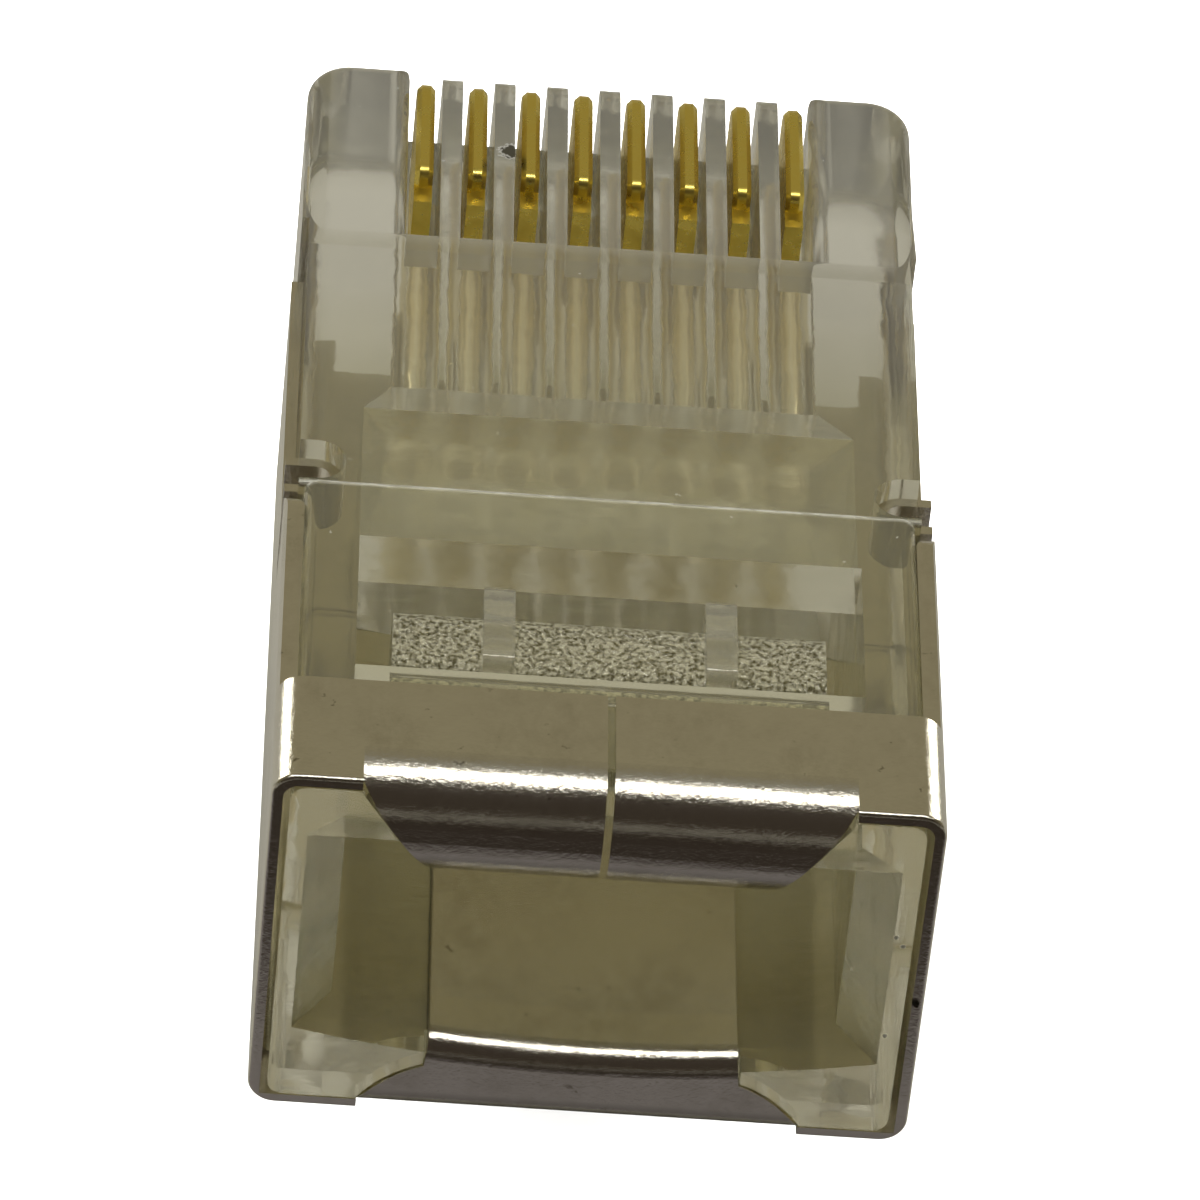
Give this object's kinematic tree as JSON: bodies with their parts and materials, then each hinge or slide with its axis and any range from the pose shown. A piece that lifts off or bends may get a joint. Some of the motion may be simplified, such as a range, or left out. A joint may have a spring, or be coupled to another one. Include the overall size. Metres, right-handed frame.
{
  "type": "shielded modular plug",
  "caption": "Clear modular cable plug in a folded metal shield, with gold blade contacts, a sprung latch below and a hinged strain relief bar.",
  "frame": {"origin": "centre of the cable entry: the middle of the rear face, at half the moulded body's height", "axes": "+Y the way the plug goes into its jack, +Z towards the contacts, the latch below"},
  "size_m": [0.012, 0.0222, 0.011],
  "materials": {
    "clear_polycarbonate": "clear moulded polycarbonate",
    "nickel_plated_sheet": "bright nickel plate over rolled sheet",
    "gold_plated_contact": "gold plate"
  },
  "bodies": {
    "plug_body": {"housing": "clear_polycarbonate", "shield": "nickel_plated_sheet", "contact_1": "gold_plated_contact", "contact_2": "gold_plated_contact", "contact_3": "gold_plated_contact", "contact_4": "gold_plated_contact", "contact_5": "gold_plated_contact", "contact_6": "gold_plated_contact", "contact_7": "gold_plated_contact", "contact_8": "gold_plated_contact"},
    "latch_lever": {"latch": "clear_polycarbonate"},
    "cable_clamp": {"strain_relief_bar": "clear_polycarbonate"}
  },
  "joints": [
    {"name": "latch_flex", "type": "hinge", "parent": "plug_body", "child": "latch_lever", "pos_m": [0, 0.02095, -0.00363], "axis": [-1, 0, 0], "range_deg": [0, 12.5], "stiffness_Nm_per_rad": 0.05},
    {"name": "clamp_press", "type": "hinge", "parent": "plug_body", "child": "cable_clamp", "pos_m": [0, 0.00353, 0.00255], "axis": [-1, 0, 0], "range_deg": [0, 30]}
  ]
}
